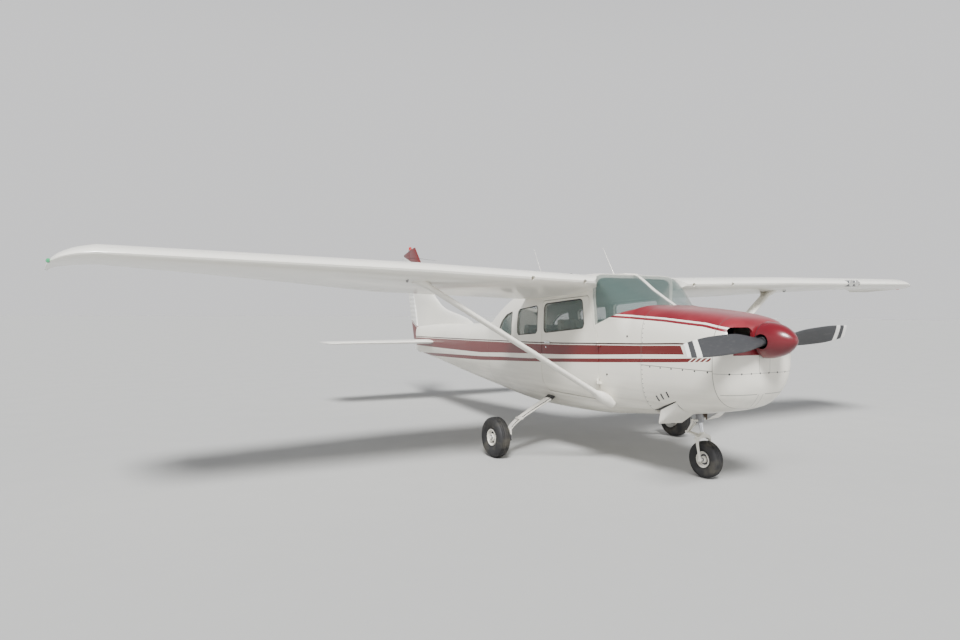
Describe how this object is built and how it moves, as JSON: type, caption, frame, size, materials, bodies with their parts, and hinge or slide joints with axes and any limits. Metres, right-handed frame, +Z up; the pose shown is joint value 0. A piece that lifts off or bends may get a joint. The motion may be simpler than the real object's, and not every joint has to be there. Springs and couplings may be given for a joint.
{
  "type": "light aircraft",
  "caption": "High-wing light aircraft with strut-braced wing, fixed three-wheel gear, cabin doors, and a propeller on a red and white cowl.",
  "frame": {"origin": "on the ground, under the middle of the aircraft's length and width", "axes": "+X towards the port wing tip, -Y towards the nose, +Z up"},
  "size_m": [11.15, 8.6801, 2.851],
  "materials": {
    "skin_white": "gloss",
    "skin_red": "gloss",
    "steel_white": "gloss",
    "rim_white": "gloss",
    "tyre": "matte",
    "engine_grey": "satin",
    "steel": "satin",
    "propeller_grey": "matte",
    "glass": "gloss",
    "panel_trim": "matte",
    "cabin_trim": "matte",
    "seat_cloth": "matte"
  },
  "bodies": {
    "airframe": {"nose_bowl": "skin_white", "cowling_lower": "skin_white", "cowl_flap_left": "skin_white", "cowl_flap_right": "skin_white", "cabin_roof": "skin_white", "belly": "skin_white", "cabin_side_left": "skin_white", "cabin_side_right": "skin_white", "wing_left": "skin_white", "wing_right": "skin_white", "strut_left": "skin_white", "strut_right": "skin_white", "tail_cone": "skin_white", "fin": "skin_white", "stabiliser": "skin_white", "cowling_upper": "skin_red", "cowl_deck": "skin_red", "main_leg_left": "steel_white", "main_leg_right": "steel_white", "engine": "engine_grey", "firewall": "steel", "exhaust": "steel", "nose_cylinder": "steel", "windshield_left": "glass", "windshield_right": "glass", "window_second_left": "glass", "window_second_right": "glass", "window_third_left": "glass", "window_third_right": "glass", "rear_window": "glass", "instrument_panel": "panel_trim", "rear_bulkhead": "cabin_trim", "seat_front_left": "seat_cloth", "seat_front_right": "seat_cloth", "bench_middle": "seat_cloth", "bench_rear": "seat_cloth"},
    "propeller": {"propeller": "propeller_grey", "spinner": "skin_red"},
    "nose_leg": {"nose_fork": "steel_white"},
    "nose_wheel": {"nose_rim": "rim_white", "nose_tyre": "tyre"},
    "main_wheel_left": {"main_rim_left": "rim_white", "main_tyre_left": "tyre"},
    "main_wheel_right": {"main_rim_right": "rim_white", "main_tyre_right": "tyre"},
    "door_left": {"door_left": "skin_white", "door_glass_left": "glass"},
    "door_right": {"door_right": "skin_white", "door_glass_right": "glass"},
    "flap_left": {"flap_left": "skin_white"},
    "flap_right": {"flap_right": "skin_white"},
    "aileron_left": {"aileron_left": "skin_white"},
    "aileron_right": {"aileron_right": "skin_white"},
    "rudder": {"rudder": "skin_white"},
    "elevator": {"elevator": "skin_white"}
  },
  "joints": [
    {"name": "propeller_spin", "type": "hinge", "parent": "airframe", "child": "propeller", "pos_m": [0, -4.095, 1.377], "axis": [0, 1, 0], "continuous": true},
    {"name": "nose_steering", "type": "hinge", "parent": "airframe", "child": "nose_leg", "pos_m": [0, -3.275, 0.564], "axis": [0, 0.2195, 0.9756], "range_deg": [-24, 24]},
    {"name": "nose_wheel_roll", "type": "hinge", "parent": "nose_leg", "child": "nose_wheel", "pos_m": [0, -3.357, 0.17913], "axis": [1, 0, 0], "continuous": true},
    {"name": "main_wheel_left_roll", "type": "hinge", "parent": "airframe", "child": "main_wheel_left", "pos_m": [1.357, -1.596, 0.22118], "axis": [1, 0, 0], "continuous": true},
    {"name": "main_wheel_right_roll", "type": "hinge", "parent": "airframe", "child": "main_wheel_right", "pos_m": [-1.357, -1.596, 0.22118], "axis": [1, 0, 0], "continuous": true},
    {"name": "door_left_swing", "type": "hinge", "parent": "airframe", "child": "door_left", "pos_m": [0.574, -2.393, 1.038], "axis": [0, 0, -1], "range_deg": [0, 70]},
    {"name": "door_right_swing", "type": "hinge", "parent": "airframe", "child": "door_right", "pos_m": [-0.574, -2.393, 1.038], "axis": [0, 0, 1], "range_deg": [0, 70]},
    {"name": "flap_left_lower", "type": "hinge", "parent": "airframe", "child": "flap_left", "pos_m": [1.6075, -1.21415, 1.86422], "axis": [-0.9995, -0.0009, -0.0308], "range_deg": [0, 40]},
    {"name": "flap_right_lower", "type": "hinge", "parent": "airframe", "child": "flap_right", "pos_m": [-1.6075, -1.21415, 1.86422], "axis": [-0.9995, 0.0009, 0.0308], "range_deg": [0, 40]},
    {"name": "aileron_left_tilt", "type": "hinge", "parent": "airframe", "child": "aileron_left", "pos_m": [3.8675, -1.36459, 1.96484], "axis": [0.9921, -0.1131, 0.0537], "range_deg": [-18, 18]},
    {"name": "aileron_right_tilt", "type": "hinge", "parent": "airframe", "child": "aileron_right", "pos_m": [-3.8675, -1.36459, 1.96484], "axis": [0.9921, 0.1131, -0.0537], "range_deg": [-18, 18]},
    {"name": "rudder_swing", "type": "hinge", "parent": "airframe", "child": "rudder", "pos_m": [0, 3.51, 0.838], "axis": [0, 0.2682, 0.9634], "range_deg": [-24, 24]},
    {"name": "elevator_tilt", "type": "hinge", "parent": "airframe", "child": "elevator", "pos_m": [0, 3.096, 1.068], "axis": [1, 0, 0], "range_deg": [-17, 21]}
  ],
  "couplings": [
    {"joint": "flap_right_lower", "follows": "flap_left_lower", "ratio": 1},
    {"joint": "aileron_right_tilt", "follows": "aileron_left_tilt", "ratio": -1}
  ]
}
